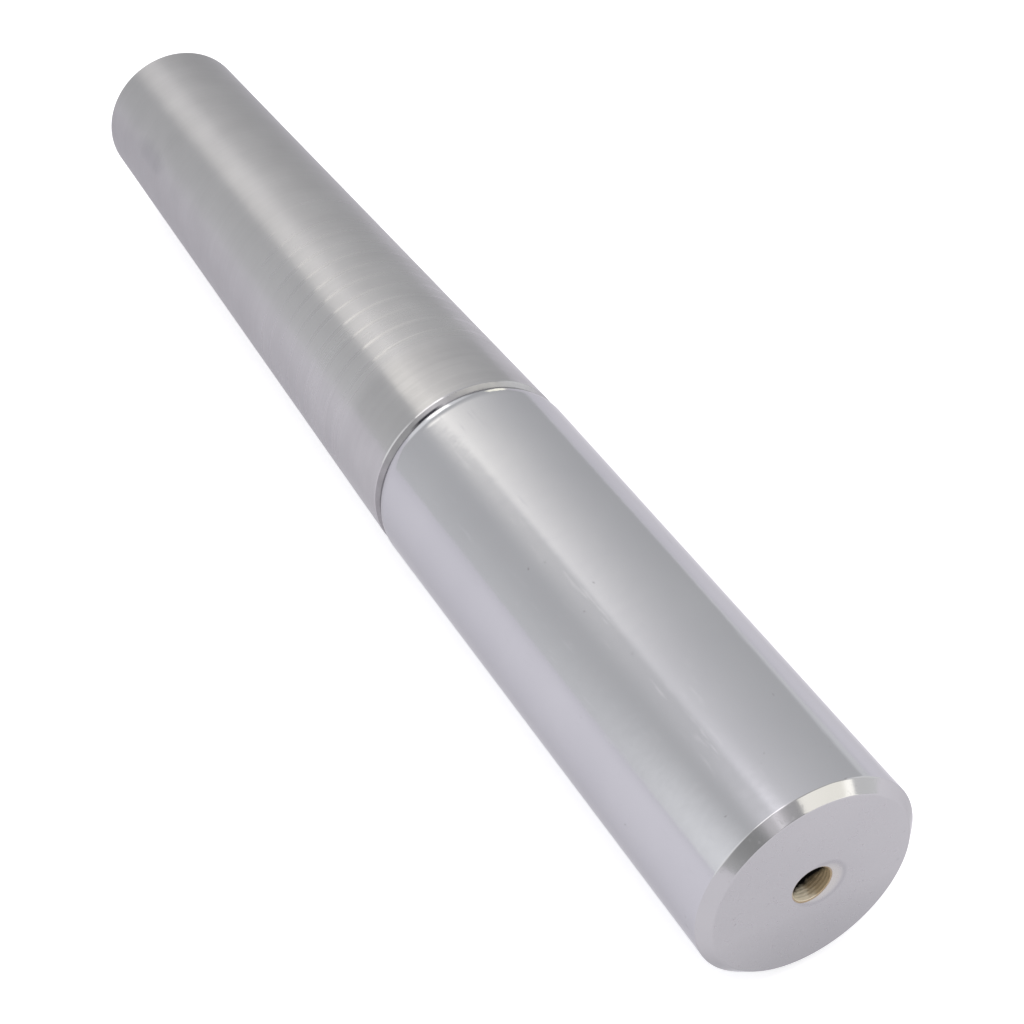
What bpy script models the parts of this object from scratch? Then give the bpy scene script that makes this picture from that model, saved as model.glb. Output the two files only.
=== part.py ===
"""Ring mandrel: a turned steel taper set end to end on a polished round handle.

Both pieces are turned about one axis. They are drawn upright about their own Z, butt end down, as they would
stand in a lathe, and an empty then lays them on their side: the small end points to -X, the butt to +X, and
the mandrel rests on z = 0. All lengths are in metres.
"""

import math

import bpy

# The handle: ground round bar, chamfered at the butt, with a buffed round on its front edge.
HANDLE_DIAMETER = 0.03175
HANDLE_LENGTH = 0.0893
BUTT_CHAMFER = 0.0015
FRONT_ROUND_LENGTH = 0.0026
FRONT_ROUND_DEPTH = 0.0013

# The hole in the butt, plain walled at its thread's outside diameter.
BUTT_HOLE_DIAMETER = 0.006
BUTT_HOLE_EDGE_BREAK = 0.0003

# The taper that rings are formed and sized on. Its large end lies a small step below the handle's surface.
TAPER_LENGTH = 0.1168
TAPER_TIP_DIAMETER = 0.0256
SHOULDER_STEP = 0.000175
TAPER_BASE_DIAMETER = HANDLE_DIAMETER - 2 * SHOULDER_STEP
BASE_EDGE_BREAK = 0.0003
TIP_EDGE_BREAK = 0.0004

# The joint: a spigot on the taper's large end, seated in a bore in the handle's front.
SPIGOT_DIAMETER = 0.016
SPIGOT_LENGTH = 0.038
SPIGOT_CHAMFER = 0.001
SPIGOT_CLEARANCE = 0.0003
SEAM_GAP = 0.0003
BORE_END_ROOM = 0.001
BORE_MOUTH_CHAMFER = 0.0008

# How finely the turned shapes are divided.
TURN_STEPS = 64
ROUND_POINTS = 8
MERGE_DISTANCE = 0.00001

# Heights along the axis, measured from the butt face.
SHOULDER_HEIGHT = HANDLE_LENGTH + SEAM_GAP
TIP_HEIGHT = SHOULDER_HEIGHT + TAPER_LENGTH
SPIGOT_END_HEIGHT = SHOULDER_HEIGHT - SPIGOT_LENGTH
BORE_END_HEIGHT = SPIGOT_END_HEIGHT - BORE_END_ROOM


def clear_scene():
    """Remove every object that the file opened with."""
    for thing in list(bpy.data.objects):
        bpy.data.objects.remove(thing, do_unlink=True)


def steel(name, colour, roughness):
    """A bare steel finish."""
    finish = bpy.data.materials.new(name)
    finish.use_nodes = True
    shader = finish.node_tree.nodes["Principled BSDF"]
    shader.inputs["Base Color"].default_value = (*colour, 1.0)
    shader.inputs["Metallic"].default_value = 1.0
    shader.inputs["Roughness"].default_value = roughness
    return finish


def turned(name, outline, closed, finish, parent, collection):
    """A lathe shape: the outline, as (radius, height) pairs, swept once round Z by a Screw modifier."""
    count = len(outline)
    edges = [(i, i + 1) for i in range(count - 1)]
    if closed:
        edges.append((count - 1, 0))
    mesh = bpy.data.meshes.new(name)
    mesh.from_pydata([(radius, 0.0, height) for radius, height in outline], edges, [])
    mesh.materials.append(finish)
    piece = bpy.data.objects.new(name, mesh)
    collection.objects.link(piece)
    piece.parent = parent
    # Half a step of turn puts a facet, not a corner, on the surface that the mandrel rests on.
    piece.rotation_euler.z = math.pi / TURN_STEPS
    sweep = piece.modifiers.new("turned", "SCREW")
    sweep.axis = "Z"
    sweep.steps = TURN_STEPS
    sweep.render_steps = TURN_STEPS
    sweep.use_merge_vertices = True
    sweep.merge_threshold = MERGE_DISTANCE
    sweep.use_smooth_shade = True
    return piece


def handle_outline():
    """Front face, rounded front edge, barrel, butt chamfer and face, then up the hole and the bore."""
    radius = HANDLE_DIAMETER / 2
    hole = BUTT_HOLE_DIAMETER / 2
    bore = SPIGOT_DIAMETER / 2 + SPIGOT_CLEARANCE
    outline = [(bore + BORE_MOUTH_CHAMFER, HANDLE_LENGTH)]
    for step in range(ROUND_POINTS + 1):
        angle = math.pi / 2 * step / ROUND_POINTS
        outline.append((
            radius - FRONT_ROUND_DEPTH * (1 - math.sin(angle)),
            HANDLE_LENGTH - FRONT_ROUND_LENGTH * (1 - math.cos(angle)),
        ))
    outline += [
        (radius, BUTT_CHAMFER),
        (radius - BUTT_CHAMFER, 0.0),
        (hole + BUTT_HOLE_EDGE_BREAK, 0.0),
        (hole, BUTT_HOLE_EDGE_BREAK),
        (hole, BORE_END_HEIGHT),
        (bore, BORE_END_HEIGHT),
        (bore, HANDLE_LENGTH - BORE_MOUTH_CHAMFER),
    ]
    return outline


def taper_radius(height):
    """The taper's radius at a height above the butt face."""
    share = (height - SHOULDER_HEIGHT) / TAPER_LENGTH
    return (TAPER_BASE_DIAMETER + (TAPER_TIP_DIAMETER - TAPER_BASE_DIAMETER) * share) / 2


def taper_outline():
    """Tip face, working taper, shoulder, and the spigot below it."""
    top = TIP_HEIGHT - TIP_EDGE_BREAK
    bottom = SHOULDER_HEIGHT + BASE_EDGE_BREAK
    spigot = SPIGOT_DIAMETER / 2
    return [
        (0.0, TIP_HEIGHT),
        (taper_radius(TIP_HEIGHT) - TIP_EDGE_BREAK, TIP_HEIGHT),
        (taper_radius(top), top),
        (taper_radius(bottom), bottom),
        (taper_radius(SHOULDER_HEIGHT) - BASE_EDGE_BREAK, SHOULDER_HEIGHT),
        (spigot, SHOULDER_HEIGHT),
        (spigot, SPIGOT_END_HEIGHT + SPIGOT_CHAMFER),
        (spigot - SPIGOT_CHAMFER, SPIGOT_END_HEIGHT),
        (0.0, SPIGOT_END_HEIGHT),
    ]


def lathe_axis(collection):
    """The empty that lays the upright pieces on their side, with the widest one just touching z = 0."""
    widest = max(HANDLE_DIAMETER, TAPER_BASE_DIAMETER, TAPER_TIP_DIAMETER) / 2
    axis = bpy.data.objects.new("lathe_axis", None)
    collection.objects.link(axis)
    axis.location = (TIP_HEIGHT / 2, 0.0, widest * math.cos(math.pi / TURN_STEPS))
    axis.rotation_euler.y = -math.pi / 2
    return axis


def main():
    clear_scene()
    collection = bpy.data.collections.new("ring_mandrel")
    bpy.context.scene.collection.children.link(collection)
    axis = lathe_axis(collection)
    polished = steel("polished_steel", (0.60, 0.59, 0.63), 0.15)
    satin = steel("satin_turned_steel", (0.52, 0.51, 0.52), 0.34)
    turned("handle", handle_outline(), True, polished, axis, collection)
    turned("taper", taper_outline(), False, satin, axis, collection)


main()
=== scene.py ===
import math

import bpy
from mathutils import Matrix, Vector


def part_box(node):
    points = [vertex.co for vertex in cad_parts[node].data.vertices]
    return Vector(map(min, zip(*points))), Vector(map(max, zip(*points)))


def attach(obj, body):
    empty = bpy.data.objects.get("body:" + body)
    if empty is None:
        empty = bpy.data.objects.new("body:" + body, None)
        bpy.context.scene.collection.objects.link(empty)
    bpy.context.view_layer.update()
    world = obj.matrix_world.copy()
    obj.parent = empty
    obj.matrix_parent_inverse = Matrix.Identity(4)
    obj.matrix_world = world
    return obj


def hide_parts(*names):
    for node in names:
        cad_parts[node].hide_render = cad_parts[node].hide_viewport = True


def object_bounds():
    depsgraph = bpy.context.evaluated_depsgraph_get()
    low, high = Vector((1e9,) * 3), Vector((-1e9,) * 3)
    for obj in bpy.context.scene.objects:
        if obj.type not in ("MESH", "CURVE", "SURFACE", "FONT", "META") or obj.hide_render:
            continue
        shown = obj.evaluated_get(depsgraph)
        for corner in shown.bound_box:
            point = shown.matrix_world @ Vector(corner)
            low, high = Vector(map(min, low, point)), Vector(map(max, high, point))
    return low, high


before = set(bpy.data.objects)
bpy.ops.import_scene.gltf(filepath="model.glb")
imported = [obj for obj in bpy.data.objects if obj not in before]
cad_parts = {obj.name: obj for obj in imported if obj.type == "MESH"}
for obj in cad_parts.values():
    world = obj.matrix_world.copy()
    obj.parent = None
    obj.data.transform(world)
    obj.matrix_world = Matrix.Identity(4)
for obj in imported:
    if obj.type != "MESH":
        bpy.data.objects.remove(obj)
cad_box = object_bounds()


# Where the mandrel lies: on its side, small end to -X, butt to +X, on a plain white table top.
# Its places along the axis and the axis's height come from the two solids it is made of.
# The camera looks down at it from beyond the butt.
MM = 0.001
tip_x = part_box("taper")[0][0]
butt_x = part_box("handle")[1][0]
front_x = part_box("handle")[0][0]
axis_z = (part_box("handle")[0][2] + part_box("handle")[1][2]) / 2
CAMERA_AZIMUTH = math.radians(61.55)
CAMERA_ELEVATION = math.radians(40.68)
CAMERA_DISTANCE = 314.8 * MM
CAMERA_LENS = 76.1
CAMERA_SENSOR = 36.0
CAMERA_CLIP = 10 * MM
LOOKED_AT = Vector((24.9 * MM, 1.0 * MM, axis_z))

scene = bpy.context.scene
scene.view_settings.view_transform = "Standard"
camera = bpy.data.objects.new("camera", bpy.data.cameras.new("camera"))
scene.collection.objects.link(camera)
camera.data.lens = CAMERA_LENS
camera.data.sensor_width = CAMERA_SENSOR
camera.data.clip_start = CAMERA_CLIP
camera.rotation_euler = (math.pi / 2 - CAMERA_ELEVATION, 0.0, CAMERA_AZIMUTH)
level_share = math.cos(CAMERA_ELEVATION)
towards_camera = Vector((
    level_share * math.sin(CAMERA_AZIMUTH),
    -level_share * math.cos(CAMERA_AZIMUTH),
    math.sin(CAMERA_ELEVATION),
))
camera.location = LOOKED_AT + towards_camera * CAMERA_DISTANCE
scene.camera = camera


# The studio: a matt white table top in a pale room, with a long soft strip of light above the mandrel.
# The table tops itself up to white for the camera and in the steel, and keeps the mandrel's soft shadow.
# The table. Its top-up is how much light of its own it adds, and slant is a place's x + y.
TABLE_SIDE = 4000 * MM
TABLE_COLOUR = "#e5e5e6"
TABLE_MIRRORED_COLOUR = "#b5b3b8"
TABLE_MIRRORED_GLOW = "#e4e2e8"
TABLE_SEEN_TOP_UP = 0.68
TABLE_MIRRORED_TOP_UP = 0.775
TABLE_DIM_TOP_UP = 0.65
TABLE_DIM_FROM = 20 * MM
TABLE_DIM_TO = -160 * MM
TABLE_RIGHT_TOP_UP = 0.07
TABLE_FAR_RIGHT_TOP_UP = -0.13
TABLE_RIGHT_FROM = 10 * MM
TABLE_RIGHT_TO = 50 * MM
TABLE_FAR_SLANT = -110 * MM
TABLE_NEAR_SLANT = 40 * MM
# The room and its strip of light. Angles go round the mandrel's axis from straight up, to the right.
ROOM_COLOUR = "#fdfeff"
ROOM_LEVEL = 0.73
RIGHT_WALL_EDGE_FROM = math.radians(87.5)
RIGHT_WALL_EDGE_TO = math.radians(91.5)
STRIP_COLOUR = "#fffaef"
STRIP_END_COLOUR = "#fdf8ff"
STRIP_LEVEL = 0.43
STRIP_CRISP_FROM = math.radians(-38)
STRIP_CRISP_TO = math.radians(-30)
STRIP_CRISP_LEVEL = 1.3
STRIP_FADE_POWER = 2.1
STRIP_NARROWS_FROM = math.radians(-24)
STRIP_NARROWS_TO = math.radians(-8)
BACKDROP = "#ffffff"


def linear(code):
    """The linear colour of an sRGB hex code."""
    shares = [int(code[i:i + 2], 16) / 255 for i in (1, 3, 5)]
    return [c / 12.92 if c <= 0.04045 else ((c + 0.055) / 1.055) ** 2.4 for c in shares] + [1.0]


def add(tree, kind, inputs=None, **settings):
    """Add a node with its settings. Each input is a plain value, a socket, or a node, for its first output.

    A Map Range numbers its inputs: 0 is the value, 1 and 2 the range it is in, 3 and 4 the range it is put
    in. Those ranges are 0 to 1 if not given. A Math node adds its inputs if no operation is given.
    """
    node = tree.nodes.new(kind)
    for name, value in settings.items():
        setattr(node, name, value)
    for name, value in (inputs or {}).items():
        if isinstance(value, bpy.types.Node):
            value = next(socket for socket in value.outputs if socket.enabled)
        if isinstance(value, bpy.types.NodeSocket):
            tree.links.new(value, node.inputs[name])
        else:
            node.inputs[name].default_value = value
    return node


def new_material(name):
    """An empty node material, and its output node."""
    material = bpy.data.materials.new(name)
    material.use_nodes = True
    material.node_tree.nodes.clear()
    return material, add(material.node_tree, "ShaderNodeOutputMaterial")


def white_table_paint():
    """Matt white paint, lit by the room and topped up where the camera or the steel looks at it.

    What the steel mirrors is dimmer past the small end, and most of all on the right there.
    """
    material, output = new_material("matt_white_paint")
    tree = material.node_tree
    ray = add(tree, "ShaderNodeLightPath").outputs
    mirrored = add(tree, "ShaderNodeMath", {
        0: ray["Is Glossy Ray"], 1: ray["Is Transmission Ray"]}, operation="MAXIMUM")
    lit = add(tree, "ShaderNodeMix", {
        "Factor": mirrored, "A": linear(TABLE_COLOUR), "B": linear(TABLE_MIRRORED_COLOUR)}, data_type="RGBA")
    matt = add(tree, "ShaderNodeBsdfDiffuse", {"Color": lit})
    place = add(tree, "ShaderNodeTexCoord").outputs["Object"]
    axes = add(tree, "ShaderNodeSeparateXYZ", {0: place}).outputs
    dimmer = add(tree, "ShaderNodeMapRange", {
        0: axes["X"], 1: TABLE_DIM_FROM, 2: TABLE_DIM_TO, 3: TABLE_MIRRORED_TOP_UP, 4: TABLE_DIM_TOP_UP})
    slant = add(tree, "ShaderNodeMath", {0: axes["X"], 1: axes["Y"]})
    beside = add(tree, "ShaderNodeMapRange", {
        0: slant, 1: TABLE_FAR_SLANT, 2: TABLE_NEAR_SLANT, 3: TABLE_FAR_RIGHT_TOP_UP, 4: TABLE_RIGHT_TOP_UP})
    right = add(tree, "ShaderNodeMapRange", {0: axes["Y"], 1: TABLE_RIGHT_FROM, 2: TABLE_RIGHT_TO})
    brighter = add(tree, "ShaderNodeMath", {0: right, 1: beside, 2: dimmer}, operation="MULTIPLY_ADD")
    tint = add(tree, "ShaderNodeMix", {
        "Factor": mirrored, "A": linear(TABLE_COLOUR), "B": linear(TABLE_MIRRORED_GLOW)}, data_type="RGBA")
    mirrored_level = add(tree, "ShaderNodeMath", {0: mirrored, 1: brighter}, operation="MULTIPLY")
    level = add(tree, "ShaderNodeMath", {
        0: ray["Is Camera Ray"], 1: TABLE_SEEN_TOP_UP, 2: mirrored_level}, operation="MULTIPLY_ADD")
    glow = add(tree, "ShaderNodeEmission", {"Color": tint, "Strength": level})
    both = add(tree, "ShaderNodeAddShader", {0: matt, 1: glow})
    tree.links.new(both.outputs[0], output.inputs["Surface"])
    return material


half = TABLE_SIDE / 2
table_corners = [(-half, -half, 0.0), (half, -half, 0.0), (half, half, 0.0), (-half, half, 0.0)]
table_mesh = bpy.data.meshes.new("table_top")
table_mesh.from_pydata(table_corners, [], [(0, 1, 2, 3)])
table_mesh.materials.append(white_table_paint())
table = bpy.data.objects.new("table_top", table_mesh)
table.location.z = cad_box[0][2]
scene.collection.objects.link(table)


def pale_room():
    """The room round the table, by direction from the mandrel.

    It is a grey that is darker behind the camera and paler towards the horizon on the left, with a white card
    on the left, a white wall on the right that stands higher nearer the camera, and a white screen past the
    small end. Above the mandrel hangs the strip of light. Its left edge has a soft and a crisp part, and to
    the right it fades slowly.
    """
    world = bpy.data.worlds.new("pale_room")
    world.use_nodes = True
    tree = world.node_tree
    tree.nodes.clear()
    looking = add(tree, "ShaderNodeTexCoord").outputs["Generated"]
    x, y, z = add(tree, "ShaderNodeSeparateXYZ", {0: looking}).outputs
    around = add(tree, "ShaderNodeMath", {0: y, 1: z}, operation="ARCTAN2")

    # Each part's level, or share of one, as it changes along an angle round the mandrel or along an axis.
    part = {}
    for name, measure, start, end, low, high, curve in (
            ("grey room", x, 0.0, 0.6, ROOM_LEVEL, 0.62 * ROOM_LEVEL, "SMOOTHSTEP"),
            ("left glow", around, math.radians(-50), math.radians(-100), 0.0, 0.18, "SMOOTHSTEP"),
            ("left glow end", x, -0.80, -0.60, 0.4, 1.0, "LINEAR"),
            ("left card", y, -0.54, -0.83, 0.0, 1.0, "SMOOTHSTEP"),
            ("left card end", x, -0.62, -0.47, 0.0, 0.53, "SMOOTHSTEP"),
            ("left card foot", around, math.radians(-76), math.radians(-92), 1.0, 0.66, "SMOOTHSTEP"),
            ("far screen", x, -0.92, -0.97, 0.0, 0.50, "SMOOTHSTEP"),
            ("right wall rise", x, -0.62, -0.09, 0.0, math.radians(36), "LINEAR"),
            ("right wall drop", x, 0.30, 0.60, 0.0, math.radians(-10), "LINEAR"),
            ("right wall level", x, -0.45, 0.10, 0.30, 0.50, "SMOOTHSTEP"),
            ("crisp edge shift", x, -0.735, -0.685, 0.0, math.radians(-19), "SMOOTHSTEP"),
            ("soft edge", around, math.radians(-47), math.radians(-22), 0.0, 0.64, "SMOOTHSTEP"),
            ("slow fade", around, math.radians(80), math.radians(-15), 0.0, 1.0, "LINEAR"),
            ("core edge", around, math.radians(-38), math.radians(-28), 0.0, 1.0, "SMOOTHSTEP"),
            ("core fade", around, math.radians(-4), math.radians(-22), 0.0, 1.0, "SMOOTHSTEP"),
            ("core end", x, -0.70, -0.73, 0.0, 0.6, "SMOOTHSTEP"),
            ("streak edge", around, math.radians(-17), math.radians(-11), 0.0, 1.0, "SMOOTHSTEP"),
            ("streak fade", around, math.radians(6), math.radians(-8), 0.0, 1.0, "SMOOTHSTEP"),
            ("streak base", around, math.radians(-38), math.radians(-24), 0.0, 1.5, "SMOOTHSTEP"),
            ("streak base fade", around, math.radians(0), math.radians(-14), 0.0, 1.0, "SMOOTHSTEP"),
            ("streak end", x, -0.55, -0.49, 0.0, 1.4, "SMOOTHSTEP"),
            ("strip near end", x, -0.58, -0.74, 0.41, 1.2, "LINEAR"),
            ("strip far end", x, -0.935, -0.68, 0.0, STRIP_LEVEL, "SMOOTHSTEP"),
            ("strip far width", x, -0.80, -0.87, 1.0, 0.68, "SMOOTHSTEP"),
            ("strip tint", x, -0.72, -0.52, 0.0, 1.0, "SMOOTHSTEP")):
        part[name] = add(tree, "ShaderNodeMapRange", {
            0: measure, 1: start, 2: end, 3: low, 4: high}, interpolation_type=curve)
    for name, operation, first, second in (
            ("right wall rise", "ADD", "right wall rise", "right wall drop"),
            ("left glow", "MULTIPLY", "left glow", "left glow end"),
            ("left card", "MULTIPLY", "left card", "left card end"),
            ("left card", "MULTIPLY", "left card", "left card foot"),
            ("core", "MULTIPLY", "core edge", "core fade"),
            ("core", "MULTIPLY", "core", "core end"),
            ("streak", "MULTIPLY", "streak edge", "streak fade"),
            ("streak base", "MULTIPLY", "streak base", "streak base fade"),
            ("streak", "ADD", "streak", "streak base"),
            ("streak", "MULTIPLY", "streak", "streak end")):
        part[name] = add(tree, "ShaderNodeMath", {0: part[first], 1: part[second]}, operation=operation)

    raised = add(tree, "ShaderNodeMath", {0: around, 1: part["right wall rise"]})
    wall = add(tree, "ShaderNodeMapRange", {
        0: raised, 1: RIGHT_WALL_EDGE_FROM, 2: RIGHT_WALL_EDGE_TO}, interpolation_type="SMOOTHSTEP")
    level = add(tree, "ShaderNodeMath", {0: wall, 1: part["right wall level"]}, operation="MULTIPLY")
    for name in ("grey room", "left glow", "left card", "far screen"):
        level = add(tree, "ShaderNodeMath", {0: level, 1: part[name]})
    walls = add(tree, "ShaderNodeBackground", {"Color": linear(ROOM_COLOUR), "Strength": level})

    shifted = add(tree, "ShaderNodeMath", {0: around, 1: part["crisp edge shift"]})
    crisp = add(tree, "ShaderNodeMapRange", {
        0: shifted, 1: STRIP_CRISP_FROM, 2: STRIP_CRISP_TO, 4: STRIP_CRISP_LEVEL},
        interpolation_type="SMOOTHSTEP")
    edge = add(tree, "ShaderNodeMath", {0: crisp, 1: part["soft edge"]})
    fade = add(tree, "ShaderNodeMath", {0: part["slow fade"], 1: STRIP_FADE_POWER}, operation="POWER")
    level = add(tree, "ShaderNodeMath", {0: edge, 1: fade}, operation="MULTIPLY")
    for name in ("core", "streak"):
        level = add(tree, "ShaderNodeMath", {0: level, 1: part[name]})
    part["strip narrows"] = add(tree, "ShaderNodeMapRange", {
        0: around, 1: STRIP_NARROWS_FROM, 2: STRIP_NARROWS_TO, 3: 1.0, 4: part["strip far width"]})
    for name in ("strip near end", "strip far end", "strip narrows"):
        level = add(tree, "ShaderNodeMath", {0: level, 1: part[name]}, operation="MULTIPLY")
    tint = add(tree, "ShaderNodeMix", {
        "Factor": part["strip tint"], "A": linear(STRIP_COLOUR), "B": linear(STRIP_END_COLOUR)},
        data_type="RGBA")
    strip = add(tree, "ShaderNodeBackground", {"Color": tint, "Strength": level})

    both = add(tree, "ShaderNodeAddShader", {0: walls, 1: strip})
    seen = add(tree, "ShaderNodeLightPath").outputs["Is Camera Ray"]
    plain = add(tree, "ShaderNodeBackground", {"Color": linear(BACKDROP), "Strength": 1.0})
    shown = add(tree, "ShaderNodeMixShader", {0: seen, 1: both, 2: plain})
    add(tree, "ShaderNodeOutputWorld", {"Surface": shown})
    return world


scene.world = pale_room()


def soft_box(name, out, distance, side, brightness, colour):
    """A square soft box that faces the mandrel from the direction out."""
    lamp = bpy.data.lights.new(name, "AREA")
    lamp.size = side
    lamp.energy = brightness * math.pi * side ** 2
    lamp.color = linear(colour)[:3]
    box = bpy.data.objects.new(name, lamp)
    scene.collection.objects.link(box)
    box.location = Vector((0.0, 0.0, axis_z)) + out.normalized() * distance
    box.rotation_euler = out.to_track_quat("Z", "Y").to_euler()
    box.visible_camera = False


soft_box("overhead_soft_box", Vector((0.05, -0.35, 0.94)), 900 * MM, 500 * MM, 0.9, "#fffdf8")
soft_box("right_soft_box", Vector((0.715, 0.443, 0.391)), 900 * MM, 560 * MM, 1.1, "#fffcef")
soft_box("far_window", Vector((-0.98, 0.02, 0.17)), 1200 * MM, 260 * MM, 1.3, "#fffdf6")


# The taper is one piece of steel turned between centres: rings are driven onto it to be formed and sized.
# The tool left fine lines round it and a row of deeper ring marks. A plain spigot seats it in the handle.
# Its shape, and how finely both pieces are turned.
TAPER_BASE_RADIUS = 15.70 * MM
TAPER_TIP_RADIUS = 12.80 * MM
TIP_EDGE = 0.4 * MM
SEAM_GAP = 0.3 * MM
SHOULDER_EDGE = 0.22 * MM
SHOULDER_EDGE_DROP = 0.095 * MM
SHOULDER_CORNER = 0.04 * MM
SHOULDER_CHAMFER = 0.62 * MM
SPIGOT_RADIUS = 8.0 * MM
SPIGOT_LENGTH = 38.0 * MM
SPIGOT_CHAMFER = 1.0 * MM
TURN_STEPS = 192
MERGE_DISTANCE = 0.0005 * MM
# Its ring marks. The first, nearest the handle, is cut deepest, and the rest fade towards the small end.
MARK_PITCH = 3.54 * MM
FIRST_MARK = 15.1 * MM
MARK_COUNT = 14
MARK_WIDTH = 0.5 * MM
MARK_DEPTH = 0.015 * MM
MARK_SHARES = (-0.7, -0.5, -0.25, 0.0, 0.25, 0.5, 0.7)
LATER_MARK_SHARE = 0.2
FAINTEST_MARK = 0.6
MARKS_FAINT_AT = -11.5 * MM
MARKS_FULL_AT = -8.5 * MM
MARKS_FAINT = 0.3
# Its satin finish: turning lines, patches, places that are smoother or rougher, and painted shade at the
# small end.
SATIN_LIGHT = "#c1c0c1"
SATIN_DARK = "#b9b8b9"
SATIN_SHADE_AT_TIP = "#f0f0f1"
SATIN_SMOOTH = "#f8f8f8"
SATIN_DARKER_LEFT = "#dad9da"
SATIN_EDGE_ON = "#dedede"
SATIN_LIGHT_ROUGHNESS = 0.24
SATIN_DARK_ROUGHNESS = 0.29
SATIN_ANISOTROPY = 0.8
TIP_ROUGHER = 0.09
LINE_PITCH = 0.55 * MM
LINE_LENGTH = 100 * MM
LINE_DEPTH = 0.01 * MM
LINE_BUMP = 0.015
LINE_SHARE = 0.4
PATCH_SIZE = 7 * MM
PATCH_DARK_BELOW = 0.4
PATCH_LIGHT_ABOVE = 1.0
SMOOTH_STRETCH = 14 * MM
SMOOTH_BLEND = 3 * MM
SMOOTH_BURNISH = 0.4
BURNISHED_SMOOTHER = 0.20
EDGE_SMOOTHER = 0.06
FILE_STREAK = 1.6 * MM
FILED_LEAST_ROUGH = 0.26
FILED_MOST_ROUGH = 0.46
# Darker places: the chamfer darker on the left, a faintly darker oval, and painted shade along the seam on
# top.
CHAMFER_DARK_FROM = -9.5 * MM
CHAMFER_DARK_TO = -12.5 * MM
DARK_OVAL = "#f2f2f3"
DARK_OVAL_FROM_TIP = 20 * MM
DARK_OVAL_ANGLE = math.radians(-64)
DARK_OVAL_SHAPE = (7 * MM, 2.4 * MM, 2.4 * MM)
DARK_OVAL_OUTSIDE = 1.5
DARK_OVAL_INSIDE = 0.8
SEAM_SHADE = "#5a5b62"
SEAM_SHADE_MIDDLE = -7.0 * MM
SEAM_SHADE_OUTSIDE = 2.8 * MM
SEAM_SHADE_INSIDE = 1.2 * MM
SEAM_SHADE_FROM_TOE = 0.45 * SHOULDER_CHAMFER
SEAM_SHADE_FULL_FROM_TOE = 0.25 * SHOULDER_CHAMFER
# How uneven it is, and where a noise texture's values mostly lie.
UNEVEN_SIZE = 4 * MM
UNEVEN_DEPTH = 0.03 * MM
NOISE_LOW = 0.3
NOISE_HIGH = 0.7
shoulder_x = front_x - SEAM_GAP
toe_x = shoulder_x + SHOULDER_CHAMFER
spigot_x = shoulder_x + SPIGOT_LENGTH
# A mark lies at half a pitch past a whole number of pitches, so the first one is moved to such a place.
first_pitch = math.floor((shoulder_x - FIRST_MARK) / MARK_PITCH)
marks = [(first_pitch + 0.5 - i) * MARK_PITCH for i in range(MARK_COUNT)]
faded_x = marks[-1] - MARK_PITCH


def taper_radius(x):
    """The taper's radius at a place along the axis."""
    share = (shoulder_x - x) / (shoulder_x - tip_x)
    return TAPER_BASE_RADIUS + (TAPER_TIP_RADIUS - TAPER_BASE_RADIUS) * share


def rounded(corners, arc_points=7, guard=1.3):
    """An outline through corners, given as (x, radius, reach before, reach after) or as plain (x, radius).

    A corner with a reach is rounded off along that length of the runs before and after it, by an elliptical
    arc. One more point just outside each end, at guard times the reach, keeps the flats beside it flat under
    smooth shading.
    """
    points = []
    for i, corner in enumerate(corners):
        at = Vector(corner[:2])
        if len(corner) == 2:
            points.append(at)
            continue
        before = Vector(corners[i - 1][:2]) - at
        after = Vector(corners[(i + 1) % len(corners)][:2]) - at
        weight = math.sin(before.angle(after) / 2)
        start = at + before.normalized() * corner[2]
        end = at + after.normalized() * corner[3]
        points.append(at + before.normalized() * corner[2] * guard)
        for step in range(arc_points):
            t = step / (arc_points - 1)
            shares = ((1 - t) ** 2, 2 * t * (1 - t) * weight, t ** 2)
            points.append((shares[0] * start + shares[1] * at + shares[2] * end) / sum(shares))
        points.append(at + after.normalized() * corner[3] * guard)
    return points


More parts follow.
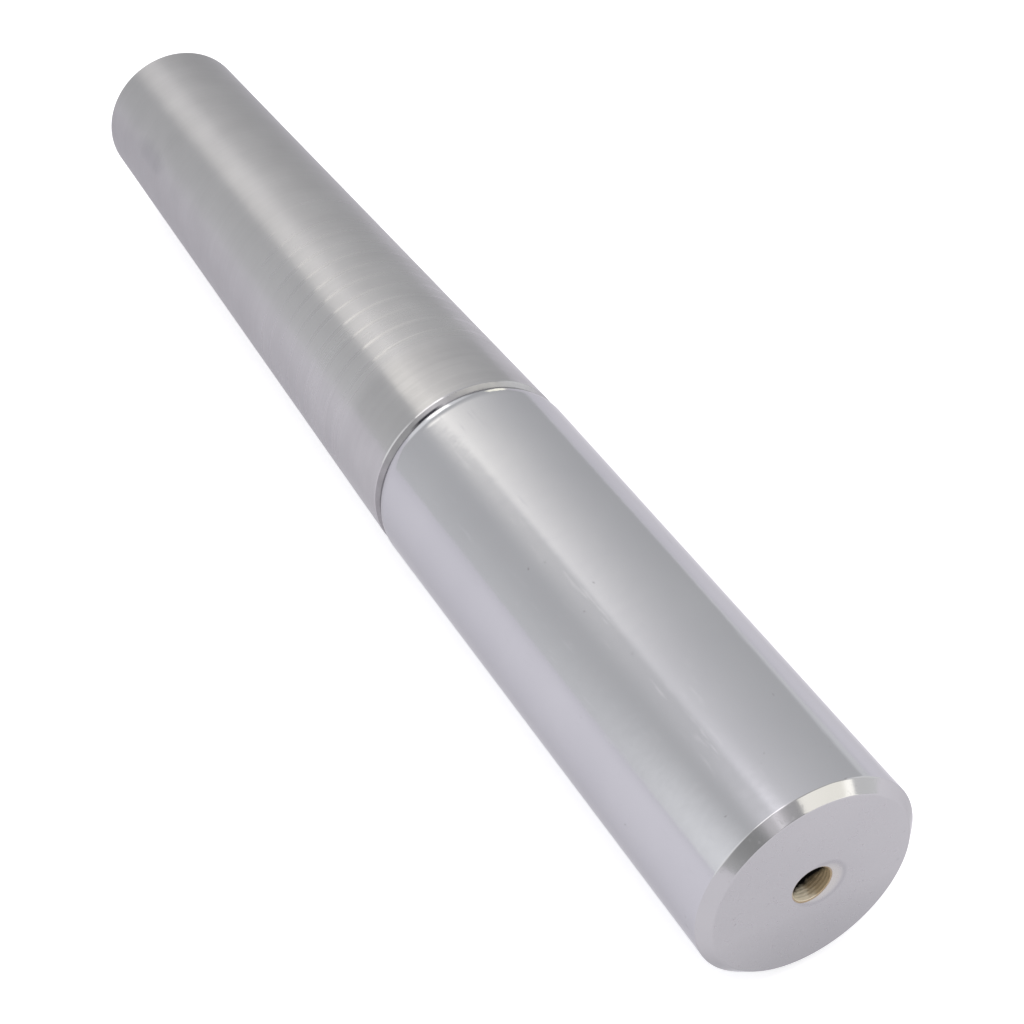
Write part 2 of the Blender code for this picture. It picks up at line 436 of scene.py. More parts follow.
def lathe():
    """The tree that turns an outline about the axis, and cuts rings or a thread where the outline says so."""
    tree = bpy.data.node_groups.new("turned_and_cut", "GeometryNodeTree")
    tree.interface.new_socket("Outline", in_out="INPUT", socket_type="NodeSocketGeometry")
    for name in ("Axis Height", "Cut Pitch", "Cut Depth", "Cut Half Share", "Cut Lead"):
        tree.interface.new_socket(name, in_out="INPUT", socket_type="NodeSocketFloat")
    tree.interface.new_socket("Turn Steps", in_out="INPUT", socket_type="NodeSocketInt")
    tree.interface.new_socket("Finish", in_out="INPUT", socket_type="NodeSocketMaterial")
    tree.interface.new_socket("Turned", in_out="OUTPUT", socket_type="NodeSocketGeometry")
    given = add(tree, "NodeGroupInput").outputs
    output = add(tree, "NodeGroupOutput")

    # A grid with one row for each outline point and one column for each step of the turn.
    size = add(tree, "GeometryNodeAttributeDomainSize", {"Geometry": given["Outline"]})
    columns = add(tree, "ShaderNodeMath", {0: given["Turn Steps"], 1: 1.0})
    blank = add(tree, "GeometryNodeMeshGrid", {
        "Vertices X": size.outputs["Point Count"], "Vertices Y": columns})
    index = add(tree, "GeometryNodeInputIndex")
    row = add(tree, "ShaderNodeMath", {0: index, 1: columns}, operation="DIVIDE")
    row = add(tree, "ShaderNodeMath", {0: row}, operation="FLOOR")
    column = add(tree, "ShaderNodeMath", {0: index, 1: columns}, operation="MODULO")
    turn = add(tree, "ShaderNodeMath", {0: column, 1: given["Turn Steps"]}, operation="DIVIDE")
    angle = add(tree, "ShaderNodeMath", {0: turn, 1: math.tau}, operation="MULTIPLY")
    place = add(tree, "GeometryNodeInputPosition")
    point = add(tree, "GeometryNodeSampleIndex", {
        "Geometry": given["Outline"], "Value": place, "Index": row}, data_type="FLOAT_VECTOR")
    along = add(tree, "ShaderNodeSeparateXYZ", {0: point}).outputs
    marked = add(tree, "GeometryNodeInputNamedAttribute", {"Name": "cut"}, data_type="FLOAT")
    cut = add(tree, "GeometryNodeSampleIndex", {
        "Geometry": given["Outline"], "Value": marked, "Index": row}, data_type="FLOAT")

    # The tool's V: deepest once in each pitch along the axis, moved on by the lead in each turn.
    pitches = add(tree, "ShaderNodeMath", {0: along["X"], 1: given["Cut Pitch"]}, operation="DIVIDE")
    phase = add(tree, "ShaderNodeMath", {0: turn, 1: given["Cut Lead"], 2: pitches}, operation="MULTIPLY_ADD")
    phase = add(tree, "ShaderNodeMath", {0: phase}, operation="FRACT")
    off = add(tree, "ShaderNodeMath", {0: phase, 1: 0.5}, operation="SUBTRACT")
    off = add(tree, "ShaderNodeMath", {0: off}, operation="ABSOLUTE")
    flank = add(tree, "ShaderNodeMath", {0: off, 1: given["Cut Half Share"]}, operation="DIVIDE")
    vee = add(tree, "ShaderNodeMath", {0: 1.0, 1: flank}, operation="SUBTRACT", use_clamp=True)
    depth = add(tree, "ShaderNodeMath", {0: vee, 1: given["Cut Depth"]}, operation="MULTIPLY")
    depth = add(tree, "ShaderNodeMath", {0: depth, 1: cut}, operation="MULTIPLY")
    radius = add(tree, "ShaderNodeMath", {0: along["Y"], 1: depth}, operation="SUBTRACT")

    # The turn starts and ends underneath, where its two edges are merged.
    sine = add(tree, "ShaderNodeMath", {0: angle}, operation="SINE")
    cosine = add(tree, "ShaderNodeMath", {0: angle}, operation="COSINE")
    side = add(tree, "ShaderNodeMath", {0: radius, 1: sine}, operation="MULTIPLY")
    drop = add(tree, "ShaderNodeMath", {0: radius, 1: cosine}, operation="MULTIPLY")
    height = add(tree, "ShaderNodeMath", {0: given["Axis Height"], 1: drop}, operation="SUBTRACT")
    spot = add(tree, "ShaderNodeCombineXYZ", {"X": along["X"], "Y": side, "Z": height})
    swept = add(tree, "GeometryNodeSetPosition", {"Geometry": blank, "Position": spot})
    closed = add(tree, "GeometryNodeMergeByDistance", {"Geometry": swept, "Distance": MERGE_DISTANCE})
    outward = add(tree, "GeometryNodeFlipFaces", {"Mesh": closed})
    smooth = add(tree, "GeometryNodeSetShadeSmooth", {"Geometry": outward})
    whole = add(tree, "GeometryNodeRealizeInstances", {"Geometry": smooth})
    dressed = add(tree, "GeometryNodeSetMaterial", {"Geometry": whole, "Material": given["Finish"]})
    tree.links.new(dressed.outputs[0], output.inputs["Turned"])
    return tree


turning = lathe()


def turned(name, outline, cuts, settings):
    """Turn an outline of (x, radius) points, with a share of cut at each, into a plain mesh piece."""
    blank = bpy.data.meshes.new(name + "_outline")
    blank.from_pydata([(x, radius, 0.0) for x, radius in outline], [], [])
    blank.attributes.new("cut", "FLOAT", "POINT").data.foreach_set("value", cuts)
    piece = bpy.data.objects.new(name, blank)
    sweep = piece.modifiers.new("lathe", "NODES")
    sweep.node_group = turning
    for socket in turning.interface.items_tree:
        if socket.name in settings:
            sweep[socket.identifier] = settings[socket.name]
    scene.collection.objects.link(piece)
    mesh = bpy.data.meshes.new_from_object(piece.evaluated_get(bpy.context.evaluated_depsgraph_get()))
    piece.modifiers.remove(sweep)
    mesh.materials.clear()
    mesh.materials.append(settings["Finish"])
    mesh.polygons.foreach_set("material_index", [0] * len(mesh.polygons))
    piece.data = mesh
    mesh.name = name
    bpy.data.meshes.remove(blank)
    return piece


def satin_turned_steel():
    """Bare tool steel as the lathe left it: a soft grey gleam, drawn out along the axis by fine lines.

    The ring marks and the stretch before the shoulder are burnished smoother, the shoulder's chamfer is
    rougher, and the small end is rougher, has painted shade and a faintly darker oval.
    """
    material, output = new_material("satin_turned_steel")
    tree = material.node_tree
    where = add(tree, "ShaderNodeTexCoord").outputs["Object"]
    axes = add(tree, "ShaderNodeSeparateXYZ", {0: where}).outputs
    along = axes["X"]
    across = axes["Y"]
    # The turning lines are finer than this. They are drawn 0.55 mm apart so that they show.
    stretched = add(tree, "ShaderNodeMapping", {
        "Vector": where, "Scale": (1 / LINE_PITCH, 1 / LINE_LENGTH, 1 / LINE_LENGTH)})
    lines = add(tree, "ShaderNodeTexNoise", {"Vector": stretched, "Scale": 1.0, "Detail": 1.0})
    patch = add(tree, "ShaderNodeTexNoise", {"Vector": where, "Scale": 1 / PATCH_SIZE, "Detail": 4.0})
    tone = add(tree, "ShaderNodeMath", {0: lines, 1: LINE_SHARE, 2: patch}, operation="MULTIPLY_ADD")
    tone = add(tree, "ShaderNodeMapRange", {0: tone, 1: PATCH_DARK_BELOW, 2: PATCH_LIGHT_ABOVE})
    colour = add(tree, "ShaderNodeMix", {
        "Factor": tone, "A": linear(SATIN_DARK), "B": linear(SATIN_LIGHT)}, data_type="RGBA")
    # Painted shade: the colour darkens towards the small end, where less light reaches it. The small end is
    # also rougher.
    dull_and_shaded = add(tree, "ShaderNodeMapRange", {0: along, 1: shoulder_x, 2: tip_x})
    colour = add(tree, "ShaderNodeMix", {
        "Factor": dull_and_shaded, "A": colour, "B": linear(SATIN_SHADE_AT_TIP)}, data_type="RGBA", blend_type="MULTIPLY")
    rough = add(tree, "ShaderNodeMapRange", {0: tone, 3: SATIN_DARK_ROUGHNESS, 4: SATIN_LIGHT_ROUGHNESS})
    rough = add(tree, "ShaderNodeMath", {0: dull_and_shaded, 1: TIP_ROUGHER, 2: rough}, operation="MULTIPLY_ADD")

    # A faintly darker oval with a ragged edge, on the left of the small end.
    dark_oval_x = tip_x + DARK_OVAL_FROM_TIP
    dark_oval_y = taper_radius(dark_oval_x) * math.sin(DARK_OVAL_ANGLE)
    dark_oval_z = axis_z + taper_radius(dark_oval_x) * math.cos(DARK_OVAL_ANGLE)
    oval = add(tree, "ShaderNodeMapping", {
        "Vector": where, "Location": (dark_oval_x, dark_oval_y, dark_oval_z), "Scale": DARK_OVAL_SHAPE},
        vector_type="TEXTURE")
    oval = add(tree, "ShaderNodeVectorMath", {0: oval}, operation="LENGTH")
    ragged = add(tree, "ShaderNodeMath", {0: oval, 1: patch})
    dark_oval = add(tree, "ShaderNodeMapRange", {0: ragged, 1: DARK_OVAL_OUTSIDE, 2: DARK_OVAL_INSIDE})
    colour = add(tree, "ShaderNodeMix", {
        "Factor": dark_oval, "A": colour, "B": linear(DARK_OVAL)}, data_type="RGBA", blend_type="MULTIPLY")

    # The ring marks, at half a pitch past each whole number of pitches, each burnished more or less.
    pitches = add(tree, "ShaderNodeMath", {0: along, 1: MARK_PITCH}, operation="DIVIDE")
    share = add(tree, "ShaderNodeMath", {0: pitches}, operation="FRACT")
    off = add(tree, "ShaderNodeMath", {0: share, 1: 0.5}, operation="SUBTRACT")
    off = add(tree, "ShaderNodeMath", {0: off}, operation="ABSOLUTE")
    ring = add(tree, "ShaderNodeMapRange", {
        0: off, 1: MARK_WIDTH / MARK_PITCH, 2: MARK_WIDTH / 4 / MARK_PITCH})
    number = add(tree, "ShaderNodeMath", {0: pitches}, operation="FLOOR")
    chance = add(tree, "ShaderNodeTexWhiteNoise", {"W": number}, noise_dimensions="1D")
    strength = add(tree, "ShaderNodeMapRange", {0: chance, 3: FAINTEST_MARK, 4: 1.0})
    fading = add(tree, "ShaderNodeMapRange", {0: along, 1: faded_x, 2: marks[0] - MARK_PITCH})
    ended = add(tree, "ShaderNodeMath", {0: along, 1: marks[0] + MARK_WIDTH}, operation="LESS_THAN")
    fainter = add(tree, "ShaderNodeMapRange", {
        0: across, 1: MARKS_FAINT_AT, 2: MARKS_FULL_AT, 3: MARKS_FAINT, 4: 1.0})
    for part in (strength, fading, ended, fainter):
        ring = add(tree, "ShaderNodeMath", {0: ring, 1: part}, operation="MULTIPLY")
    smooth_x = shoulder_x - SMOOTH_STRETCH
    smooth = add(tree, "ShaderNodeMapRange", {0: along, 1: smooth_x, 2: smooth_x + SMOOTH_BLEND})
    colour = add(tree, "ShaderNodeMix", {
        "Factor": smooth, "A": colour, "B": linear(SATIN_SMOOTH)}, data_type="RGBA", blend_type="MULTIPLY")
    smooth = add(tree, "ShaderNodeMath", {0: smooth, 1: SMOOTH_BURNISH}, operation="MULTIPLY")
    burnished = add(tree, "ShaderNodeMath", {0: ring, 1: smooth}, operation="MAXIMUM")
    rough = add(tree, "ShaderNodeMath", {
        0: burnished, 1: -BURNISHED_SMOOTHER, 2: rough}, operation="MULTIPLY_ADD")
    edge = add(tree, "ShaderNodeMapRange", {
        0: along, 1: shoulder_x - 2 * SHOULDER_EDGE, 2: shoulder_x - SHOULDER_EDGE, 4: EDGE_SMOOTHER})
    rough = add(tree, "ShaderNodeMath", {0: rough, 1: edge}, operation="SUBTRACT")

    # The shoulder's chamfer, streaked by the file that broke its edge, and darker on the left.
    chamfer = add(tree, "ShaderNodeMapRange", {
        0: along, 1: shoulder_x - SHOULDER_CORNER / 4, 2: shoulder_x + SHOULDER_CORNER / 4})
    filed = add(tree, "ShaderNodeTexNoise", {"Vector": where, "Scale": 1 / FILE_STREAK, "Detail": 3.0})
    filed = add(tree, "ShaderNodeMapRange", {
        0: filed, 1: NOISE_LOW, 2: NOISE_HIGH, 3: FILED_LEAST_ROUGH, 4: FILED_MOST_ROUGH})
    rough = add(tree, "ShaderNodeMix", {"Factor": chamfer, "A": rough, "B": filed})
    darker_left = add(tree, "ShaderNodeMapRange", {0: across, 1: CHAMFER_DARK_FROM, 2: CHAMFER_DARK_TO})
    darker_left = add(tree, "ShaderNodeMath", {0: darker_left, 1: chamfer}, operation="MULTIPLY")
    colour = add(tree, "ShaderNodeMix", {
        "Factor": darker_left, "A": colour, "B": linear(SATIN_DARKER_LEFT)}, data_type="RGBA", blend_type="MULTIPLY")

    # Painted shade: a dark line along the seam, on top, where its narrow gap falls in shade.
    seam_shade = add(tree, "ShaderNodeMath", {0: across, 1: SEAM_SHADE_MIDDLE}, operation="SUBTRACT")
    seam_shade = add(tree, "ShaderNodeMath", {0: seam_shade}, operation="ABSOLUTE")
    seam_shade = add(tree, "ShaderNodeMapRange", {0: seam_shade, 1: SEAM_SHADE_OUTSIDE, 2: SEAM_SHADE_INSIDE})
    at_toe = add(tree, "ShaderNodeMapRange", {
        0: along, 1: toe_x - SEAM_SHADE_FROM_TOE, 2: toe_x - SEAM_SHADE_FULL_FROM_TOE})
    seam_shade = add(tree, "ShaderNodeMath", {0: seam_shade, 1: at_toe}, operation="MULTIPLY")
    colour = add(tree, "ShaderNodeMix", {
        "Factor": seam_shade, "A": colour, "B": linear(SEAM_SHADE)}, data_type="RGBA", blend_type="MULTIPLY")

    # Polishing by hand has left the surface slightly uneven, which shows in what it mirrors.
    uneven = add(tree, "ShaderNodeTexNoise", {"Vector": where, "Scale": 1 / UNEVEN_SIZE, "Detail": 2.0})
    bump = add(tree, "ShaderNodeBump", {"Height": uneven, "Strength": 1.0, "Distance": UNEVEN_DEPTH})
    bump = add(tree, "ShaderNodeBump", {
        "Normal": bump, "Height": lines, "Strength": LINE_BUMP, "Distance": LINE_DEPTH})
    # A quarter of a turn from the tangent, which runs round the axis, draws the gleam out along it.
    round_axis = add(tree, "ShaderNodeTangent", direction_type="RADIAL", axis="X")
    steel = add(tree, "ShaderNodeBsdfPrincipled", {
        "Base Color": colour, "Metallic": 1.0, "Roughness": rough, "Specular Tint": linear(SATIN_EDGE_ON),
        "Anisotropic": SATIN_ANISOTROPY, "Anisotropic Rotation": 0.25, "Normal": bump, "Tangent": round_axis})
    tree.links.new(steel.outputs[0], output.inputs["Surface"])
    return material


mark_places = []
for mark in reversed(marks):
    mark_places += [mark + MARK_WIDTH * share for share in MARK_SHARES]
taper_outline = rounded(
    [(tip_x, 0.0), (tip_x, TAPER_TIP_RADIUS, TIP_EDGE, TIP_EDGE)]
    + [(x, taper_radius(x)) for x in mark_places]
    + [
        (shoulder_x - SHOULDER_EDGE, TAPER_BASE_RADIUS, SHOULDER_CORNER, SHOULDER_CORNER),
        (shoulder_x, TAPER_BASE_RADIUS - SHOULDER_EDGE_DROP, SHOULDER_CORNER, SHOULDER_CORNER),
        (toe_x, TAPER_BASE_RADIUS - SHOULDER_EDGE_DROP - SHOULDER_CHAMFER, SHOULDER_CORNER, SHOULDER_CORNER),
        (toe_x, SPIGOT_RADIUS),
        (spigot_x - SPIGOT_CHAMFER, SPIGOT_RADIUS),
        (spigot_x, SPIGOT_RADIUS - SPIGOT_CHAMFER),
        (spigot_x, 0.0),
    ])
taper_cuts = []
for x, radius in taper_outline:
    cut_share = max(0.0, (x - faded_x) / (marks[0] - faded_x)) if x <= marks[0] + MARK_WIDTH else 0.0
    taper_cuts.append(cut_share if x > marks[0] - MARK_WIDTH else LATER_MARK_SHARE * cut_share)
taper = turned("taper_turned", taper_outline, taper_cuts, {
    "Axis Height": axis_z,
    "Cut Pitch": MARK_PITCH,
    "Cut Depth": MARK_DEPTH,
    "Cut Half Share": MARK_WIDTH / 2 / MARK_PITCH,
    "Cut Lead": 0.0,
    "Turn Steps": TURN_STEPS,
    "Finish": satin_turned_steel(),
})
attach(taper, "root")
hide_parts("taper")


# The handle is a length of ground and buffed round bar, pressed onto the taper's spigot and held in a vise.
# Buffing has dubbed off its front edge. Its butt is faced and chamfered, with a tapped hole in the middle.
# Its shape: a short steep nose, then a longer lip, then the barrel.
HANDLE_RADIUS = 15.875 * MM
SEAM = 0.03 * MM
NOSE_LENGTH = 0.38 * MM
NOSE_DROP = 0.98 * MM
NOSE_EDGE = 0.06 * MM
LIP_LENGTH = 1.98 * MM
LIP_DROP = 0.51 * MM
LIP_BEND = 0.75 * MM
LIP_CORNER = 0.1 * MM
BUTT_CHAMFER = 1.5 * MM
CHAMFER_EDGE = 0.13 * MM
BORE_CLEARANCE = 0.3 * MM
BORE_MOUTH = 0.8 * MM
BORE_END_ROOM = 1.0 * MM
# The hole and its thread. A side is a direction out from the axis, and bare is a share of clean metal.
HOLE_RIM_RADIUS = 2.94 * MM
HOLE_BLEND_OUTSIDE = 0.1 * MM
HOLE_BLEND_INSIDE = 0.05 * MM
RIM_EDGE = 0.06 * MM
RIM_TAN = "#a38c6c"
THREAD_PITCH = 0.5 * MM
THREAD_CREST_RADIUS = 2.76 * MM
THREAD_DEPTH = 0.035 * MM
THREAD_LENGTH = 9.0 * MM
THREAD_POINTS = 8
THREAD_START_SHARE = 0.3
THREAD_PALE = "#fff4dc"
THREAD_BROWN = "#d6c09c"
THREAD_DEEP = "#0a0806"
THREAD_PALE_BARE = 0.05
THREAD_BROWN_BARE = 0.25
THREAD_ROUGHNESS = 0.30
THREAD_DEEP_ROUGHNESS = 0.9
THREAD_LIT_SIDE = (0.0, -0.876, -0.48)
THREAD_LIT_BLEND = 1.2 * MM
THREAD_BLOTCH_SIZE = 1.2 * MM
THREAD_BLOTCH_SHIFT = 1.5 * MM
THREAD_LOW_SIDE = (0.0, 0.48, -0.876)
THREAD_LIT_DEPTH = 3.1 * MM
THREAD_LEAST_LIT_DEPTH = 0.9 * MM
THREAD_DEEP_FROM = 0.77
THREAD_DEEP_TO = 1.05
THREAD_DEEP_RAGGED = 0.3
# The dish that was scraped beside the hole.
DISH_RADIUS = 3.5 * MM
DISH_DEPTH = 0.32 * MM
DISH_CENTRE = Vector((0.0, 1.2 * MM, axis_z - 0.35 * MM))
DISH_RINGS = 9
DISH_BRIGHT = "#c4c2be"
DISH_BRIGHT_RADIUS = 0.7 * DISH_RADIUS
DISH_EDGE = "#f3f3f4"
DISH_EDGE_OUTSIDE = 0.5 * MM
DISH_EDGE_INSIDE = 0.1 * MM
# Its polish, the duller butt with painted shade low down, and what has marked it.
POLISHED_LIGHT = "#c3c3c6"
POLISHED_DARK = "#bbbbbf"
POLISHED_EDGE_ON = "#dcdcdc"
POLISHED_LIGHT_ROUGHNESS = 0.10
POLISHED_DARK_ROUGHNESS = 0.14
HAZE_SIZE = 14 * MM
BUFFED_WAVE_SIZE = 2.4 * MM
BUFFED_WAVE_DEPTH = 0.011 * MM
FACED_HIGH = "#f7f6f3"
FACED_LOW_SHADE = "#e8e8e5"
FACED_ROUGHER = 0.09
SPECK = "#a09ea1"
SPECK_SPACING = 0.9 * MM
SPECK_FROM_AT_FRONT = 0.77
SPECK_FROM_AT_BUTT = 0.72
SPECK_BLEND = 0.06
SPECK_STRENGTH = 0.6
SCUFF_LENGTH = 5 * MM
SCUFF_WIDTH = 0.6 * MM
SCUFF_FROM = 0.62
SCUFF_TO = 0.74
SCUFF_ROUGHNESS = 0.12
PALE_PATCH = "#f7f5e6"
PALE_PATCH_ANGLE = math.radians(13)
PALE_PATCH_FROM_FRONT = 1.45 * MM
PALE_PATCH_OVAL = (0.6 * MM, 2.2 * MM, 2.2 * MM)
PALE_PATCH_OUTSIDE = 1.5
PALE_PATCH_INSIDE = 1.0
# This keeps what lies across the axis, and drops what lies along it.
CROSSWISE = Vector((0.0, 1.0, 1.0))
lip_x = toe_x + SEAM
bore_radius = SPIGOT_RADIUS + BORE_CLEARANCE
bore_end_x = spigot_x + BORE_END_ROOM
countersink_x = butt_x - (HOLE_RIM_RADIUS - THREAD_CREST_RADIUS)
thread_end_x = butt_x - THREAD_LENGTH


def ground_and_buffed_steel():
    """Ground and buffed steel: a near mirror with a faint haze and a few specks, more of them near the butt.

    The butt was only faced and chamfered, so it is a little duller and its face a little rougher, and painted
    shade darkens it low down. Deburring the hole by hand has scraped a bright dish beside it. The thread is
    brown with old cutting oil; painted light makes it pale on one lower side, and painted shade makes it
    black further in.
    """
    material, output = new_material("ground_and_buffed_steel")
    tree = material.node_tree
    where = add(tree, "ShaderNodeTexCoord").outputs["Object"]
    axes = add(tree, "ShaderNodeSeparateXYZ", {0: where}).outputs
    along = axes["X"]
    up = axes["Z"]
    haze = add(tree, "ShaderNodeTexNoise", {"Vector": where, "Scale": 1 / HAZE_SIZE, "Detail": 3.0})
    colour = add(tree, "ShaderNodeMix", {
        "Factor": haze, "A": linear(POLISHED_DARK), "B": linear(POLISHED_LIGHT)}, data_type="RGBA")
    rough = add(tree, "ShaderNodeMapRange", {
        0: haze, 1: NOISE_LOW, 2: NOISE_HIGH, 3: POLISHED_DARK_ROUGHNESS, 4: POLISHED_LIGHT_ROUGHNESS})
    faced = add(tree, "ShaderNodeMapRange", {
        0: along, 1: butt_x - BUTT_CHAMFER - CHAMFER_EDGE, 2: butt_x - BUTT_CHAMFER})
    offset = add(tree, "ShaderNodeVectorMath", {0: where, 1: (0.0, 0.0, axis_z)}, operation="SUBTRACT")
    spoke = add(tree, "ShaderNodeVectorMath", {0: offset, 1: CROSSWISE}, operation="MULTIPLY")
    spoke = add(tree, "ShaderNodeVectorMath", {0: spoke}, operation="LENGTH")
    face_radius = HANDLE_RADIUS - BUTT_CHAMFER
    flat = add(tree, "ShaderNodeMapRange", {0: spoke, 1: face_radius, 2: face_radius - CHAMFER_EDGE})
    flat = add(tree, "ShaderNodeMath", {0: flat, 1: faced}, operation="MULTIPLY")
    rough = add(tree, "ShaderNodeMath", {0: flat, 1: FACED_ROUGHER, 2: rough}, operation="MULTIPLY_ADD")
    # Painted shade: the butt's colour darkens towards its lower edge, where it mirrors the shadowed table.
    low = add(tree, "ShaderNodeMapRange", {0: up, 1: axis_z - HANDLE_RADIUS / 4, 2: axis_z - HANDLE_RADIUS})
    faced_tone_and_shade = add(tree, "ShaderNodeMix", {
        "Factor": low, "A": linear(FACED_HIGH), "B": linear(FACED_LOW_SHADE)}, data_type="RGBA")
    colour = add(tree, "ShaderNodeMix", {
        "Factor": faced, "A": colour, "B": faced_tone_and_shade}, data_type="RGBA", blend_type="MULTIPLY")

    # Specks about 0.5 mm across, sparse at the front and a little closer together at the butt.
    dots = add(tree, "ShaderNodeTexNoise", {"Vector": where, "Scale": 1 / SPECK_SPACING, "Detail": 2.0})
    sparse = add(tree, "ShaderNodeMapRange", {
        0: along, 1: lip_x, 2: butt_x, 3: SPECK_FROM_AT_FRONT, 4: SPECK_FROM_AT_BUTT})
    over = add(tree, "ShaderNodeMath", {0: dots, 1: sparse}, operation="SUBTRACT")
    speck = add(tree, "ShaderNodeMapRange", {0: over, 1: 0.0, 2: SPECK_BLEND, 4: SPECK_STRENGTH})
    colour = add(tree, "ShaderNodeMix", {"Factor": speck, "A": colour, "B": linear(SPECK)}, data_type="RGBA")

    # Faint scuffs along the bar, from sliding it in and out of a vise.
    stretched = add(tree, "ShaderNodeMapping", {
        "Vector": where, "Scale": (1 / SCUFF_LENGTH, 1 / SCUFF_WIDTH, 1 / SCUFF_WIDTH)})
    scuff = add(tree, "ShaderNodeTexNoise", {"Vector": stretched, "Scale": 1.0, "Detail": 2.0})
    scuff = add(tree, "ShaderNodeMapRange", {0: scuff, 1: SCUFF_FROM, 2: SCUFF_TO, 4: SCUFF_ROUGHNESS})
    rough = add(tree, "ShaderNodeMath", {0: rough, 1: scuff})

    # A pale cream patch on the front edge, less metallic than the steel round it.
    pale_x = lip_x + PALE_PATCH_FROM_FRONT
    pale_y = HANDLE_RADIUS * math.sin(PALE_PATCH_ANGLE)
    pale_z = axis_z + HANDLE_RADIUS * math.cos(PALE_PATCH_ANGLE)
    pale_oval = add(tree, "ShaderNodeMapping", {
        "Vector": where, "Location": (pale_x, pale_y, pale_z), "Scale": PALE_PATCH_OVAL}, vector_type="TEXTURE")
    pale_oval = add(tree, "ShaderNodeVectorMath", {0: pale_oval}, operation="LENGTH")
    ragged = add(tree, "ShaderNodeMath", {0: pale_oval, 1: dots})
    pale_patch = add(tree, "ShaderNodeMapRange", {0: ragged, 1: PALE_PATCH_OUTSIDE, 2: PALE_PATCH_INSIDE})
    colour = add(tree, "ShaderNodeMix", {"Factor": pale_patch, "A": colour, "B": linear(PALE_PATCH)}, data_type="RGBA")

    # The scraped dish, bright with a faint darker edge, which lies to one side of the hole in the butt face.
    aside = add(tree, "ShaderNodeVectorMath", {0: where, 1: DISH_CENTRE}, operation="SUBTRACT")
    aside = add(tree, "ShaderNodeVectorMath", {0: aside, 1: CROSSWISE}, operation="MULTIPLY")
    aside = add(tree, "ShaderNodeVectorMath", {0: aside}, operation="LENGTH")
    scraped = add(tree, "ShaderNodeMapRange", {0: aside, 1: DISH_RADIUS, 2: DISH_BRIGHT_RADIUS})
    at_face = add(tree, "ShaderNodeMath", {0: along, 1: butt_x - DISH_DEPTH}, operation="GREATER_THAN")
    scraped = add(tree, "ShaderNodeMath", {0: scraped, 1: at_face}, operation="MULTIPLY")
    colour = add(tree, "ShaderNodeMix", {
        "Factor": scraped, "A": colour, "B": linear(DISH_BRIGHT)}, data_type="RGBA")
    dish_edge = add(tree, "ShaderNodeMath", {0: aside, 1: DISH_RADIUS}, operation="SUBTRACT")
    dish_edge = add(tree, "ShaderNodeMath", {0: dish_edge}, operation="ABSOLUTE")
    dish_edge = add(tree, "ShaderNodeMapRange", {0: dish_edge, 1: DISH_EDGE_OUTSIDE, 2: DISH_EDGE_INSIDE})
    dish_edge = add(tree, "ShaderNodeMath", {0: dish_edge, 1: faced}, operation="MULTIPLY")
    colour = add(tree, "ShaderNodeMix", {
        "Factor": dish_edge, "A": colour, "B": linear(DISH_EDGE)}, data_type="RGBA", blend_type="MULTIPLY")

    # How far each point lies from the axis tells the hole's wall from the polished outside.
    inside = add(tree, "ShaderNodeMapRange", {
        0: spoke, 1: HOLE_RIM_RADIUS + HOLE_BLEND_OUTSIDE, 2: HOLE_RIM_RADIUS - HOLE_BLEND_INSIDE})
    # Painted light: the thread is painted pale and less metallic on one lower side, where light reaches in,
    # and brown elsewhere.
    across = add(tree, "ShaderNodeVectorMath", {0: offset, 1: THREAD_LIT_SIDE}, operation="DOT_PRODUCT")
    blotch = add(tree, "ShaderNodeTexNoise", {
        "Vector": where, "Scale": 1 / THREAD_BLOTCH_SIZE, "Detail": 3.0})
    blotch = add(tree, "ShaderNodeMapRange", {0: blotch, 3: -THREAD_BLOTCH_SHIFT, 4: THREAD_BLOTCH_SHIFT})
    across = add(tree, "ShaderNodeMath", {0: across, 1: blotch})
    lit_side = add(tree, "ShaderNodeMapRange", {0: across, 1: 0.0, 2: THREAD_LIT_BLEND})
    thread = add(tree, "ShaderNodeMix", {
        "Factor": lit_side, "A": linear(THREAD_BROWN), "B": linear(THREAD_PALE)}, data_type="RGBA")
    rim = add(tree, "ShaderNodeMapRange", {
        0: spoke, 1: THREAD_CREST_RADIUS + THREAD_DEPTH, 2: THREAD_CREST_RADIUS + 2 * THREAD_DEPTH})
    thread = add(tree, "ShaderNodeMix", {"Factor": rim, "A": thread, "B": linear(RIM_TAN)}, data_type="RGBA")

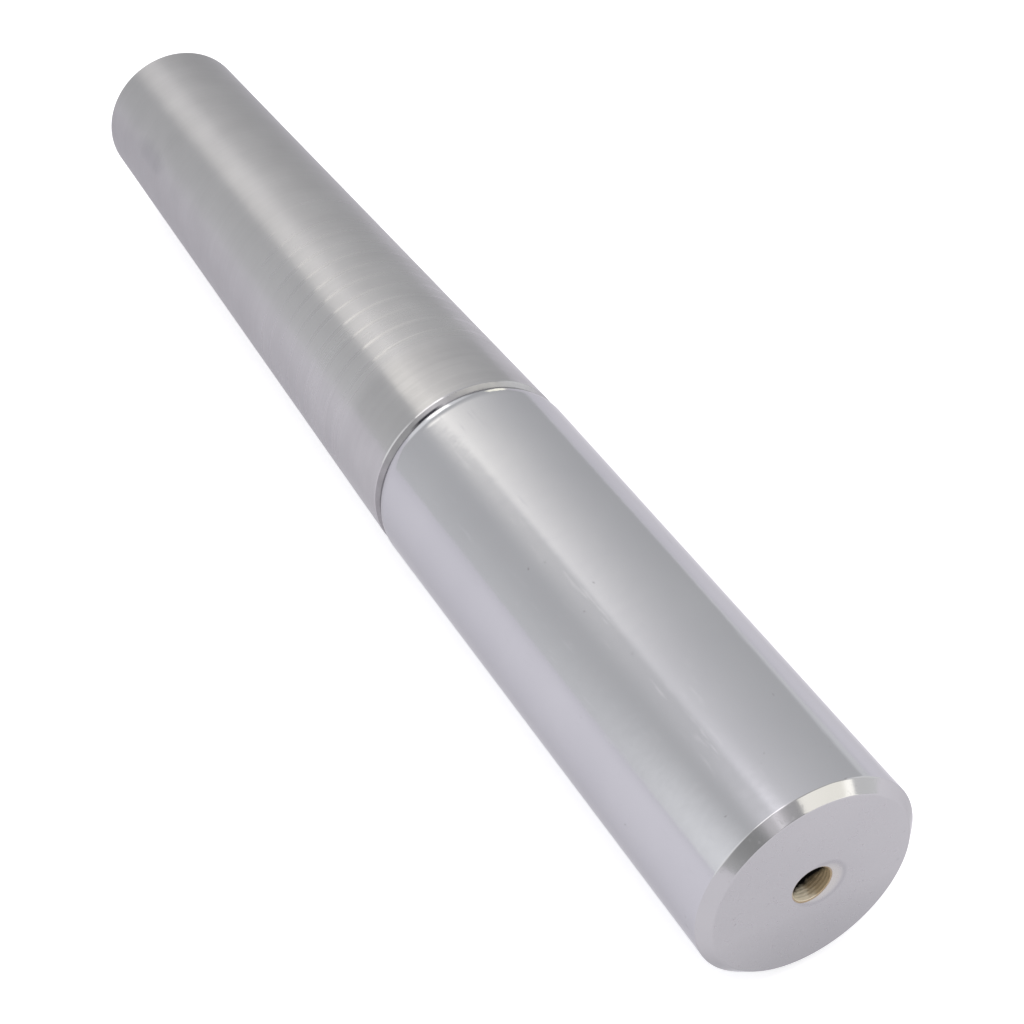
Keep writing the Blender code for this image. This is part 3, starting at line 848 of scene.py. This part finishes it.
    # Painted shade: past a depth the thread is painted black, matt and not metallic; that depth is greatest
    # on the lowest side of the wall.
    lowest = add(tree, "ShaderNodeVectorMath", {0: offset, 1: THREAD_LOW_SIDE}, operation="DOT_PRODUCT")
    clear = add(tree, "ShaderNodeMapRange", {
        0: lowest, 2: THREAD_CREST_RADIUS, 3: THREAD_LEAST_LIT_DEPTH, 4: THREAD_LIT_DEPTH})
    inwards = add(tree, "ShaderNodeMath", {0: butt_x, 1: along}, operation="SUBTRACT")
    inwards = add(tree, "ShaderNodeMath", {0: inwards, 1: clear}, operation="DIVIDE")
    ragged = add(tree, "ShaderNodeMath", {
        0: dots, 1: THREAD_DEEP_RAGGED, 2: inwards}, operation="MULTIPLY_ADD")
    deep = add(tree, "ShaderNodeMapRange", {0: ragged, 1: THREAD_DEEP_FROM, 2: THREAD_DEEP_TO})
    thread = add(tree, "ShaderNodeMix", {
        "Factor": deep, "A": thread, "B": linear(THREAD_DEEP)}, data_type="RGBA")
    deep_rough = add(tree, "ShaderNodeMapRange", {0: deep, 3: THREAD_ROUGHNESS, 4: THREAD_DEEP_ROUGHNESS})
    bright = add(tree, "ShaderNodeMapRange", {0: lit_side, 3: THREAD_BROWN_BARE, 4: THREAD_PALE_BARE})
    thread_metal = add(tree, "ShaderNodeMix", {"Factor": deep, "A": bright, "B": 0.0})
    colour = add(tree, "ShaderNodeMix", {"Factor": inside, "A": colour, "B": thread}, data_type="RGBA")
    rough = add(tree, "ShaderNodeMix", {"Factor": inside, "A": rough, "B": deep_rough})
    bare = add(tree, "ShaderNodeMix", {"Factor": inside, "A": 1.0, "B": thread_metal})
    bare = add(tree, "ShaderNodeMath", {0: bare, 1: pale_patch}, operation="SUBTRACT")

    # The buffing wheel left the surface very slightly uneven, which shows in what it mirrors.
    uneven = add(tree, "ShaderNodeTexNoise", {"Vector": where, "Scale": 1 / BUFFED_WAVE_SIZE, "Detail": 2.0})
    bump = add(tree, "ShaderNodeBump", {"Height": uneven, "Strength": 1.0, "Distance": BUFFED_WAVE_DEPTH})
    steel = add(tree, "ShaderNodeBsdfPrincipled", {
        "Base Color": colour, "Metallic": bare, "Roughness": rough,
        "Specular Tint": linear(POLISHED_EDGE_ON), "Normal": bump})
    tree.links.new(steel.outputs[0], output.inputs["Surface"])
    return material


thread_run = countersink_x - thread_end_x
thread_count = round(thread_run / THREAD_PITCH * THREAD_POINTS)
thread_places = [countersink_x - thread_run * step / thread_count for step in range(1, thread_count + 1)]
dish_reach = DISH_RADIUS + (DISH_CENTRE - Vector((0.0, 0.0, axis_z))).length
dish_width = dish_reach - HOLE_RIM_RADIUS
dish_rings = [HOLE_RIM_RADIUS + dish_width * step / DISH_RINGS for step in range(1, DISH_RINGS + 1)]
handle_outline = rounded(
    [
        (lip_x, bore_radius + BORE_MOUTH),
        (lip_x, HANDLE_RADIUS - NOSE_DROP, NOSE_EDGE, NOSE_EDGE),
        (lip_x + NOSE_LENGTH, HANDLE_RADIUS - LIP_DROP, LIP_CORNER, LIP_CORNER),
        (lip_x + LIP_LENGTH, HANDLE_RADIUS, LIP_BEND, LIP_BEND),
        (butt_x - BUTT_CHAMFER, HANDLE_RADIUS, CHAMFER_EDGE, CHAMFER_EDGE),
        (butt_x, HANDLE_RADIUS - BUTT_CHAMFER, CHAMFER_EDGE, CHAMFER_EDGE),
    ]
    + [(butt_x, radius) for radius in reversed(dish_rings)]
    + [
        (butt_x, HOLE_RIM_RADIUS, RIM_EDGE, RIM_EDGE),
        (countersink_x, THREAD_CREST_RADIUS),
    ]
    + [(x, THREAD_CREST_RADIUS) for x in thread_places]
    + [
        (bore_end_x, THREAD_CREST_RADIUS),
        (bore_end_x, bore_radius),
        (lip_x + BORE_MOUTH, bore_radius),
        (lip_x, bore_radius + BORE_MOUTH),
    ])
handle_cuts = []
for x, radius in handle_outline:
    in_thread = radius < HOLE_RIM_RADIUS and x >= thread_end_x
    ends = min(countersink_x - x, x - thread_end_x) / THREAD_PITCH
    handle_cuts.append(min(1.0, max(0.0, THREAD_START_SHARE + ends)) if in_thread else 0.0)
handle = turned("handle_turned", handle_outline, handle_cuts, {
    "Axis Height": axis_z,
    "Cut Pitch": THREAD_PITCH,
    "Cut Depth": -THREAD_DEPTH,
    "Cut Half Share": 0.5,
    "Cut Lead": 1.0,
    "Turn Steps": TURN_STEPS,
    "Finish": ground_and_buffed_steel(),
})
# The hole was deburred by hand, off centre, so a shallow dish lies more to one side of it.
for vertex in handle.data.vertices:
    from_dish = ((vertex.co - DISH_CENTRE) * CROSSWISE).length
    if vertex.co.x > butt_x - 2 * RIM_EDGE and from_dish < DISH_RADIUS:
        vertex.co.x -= DISH_DEPTH * (1 - from_dish / DISH_RADIUS)
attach(handle, "root")
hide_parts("handle")
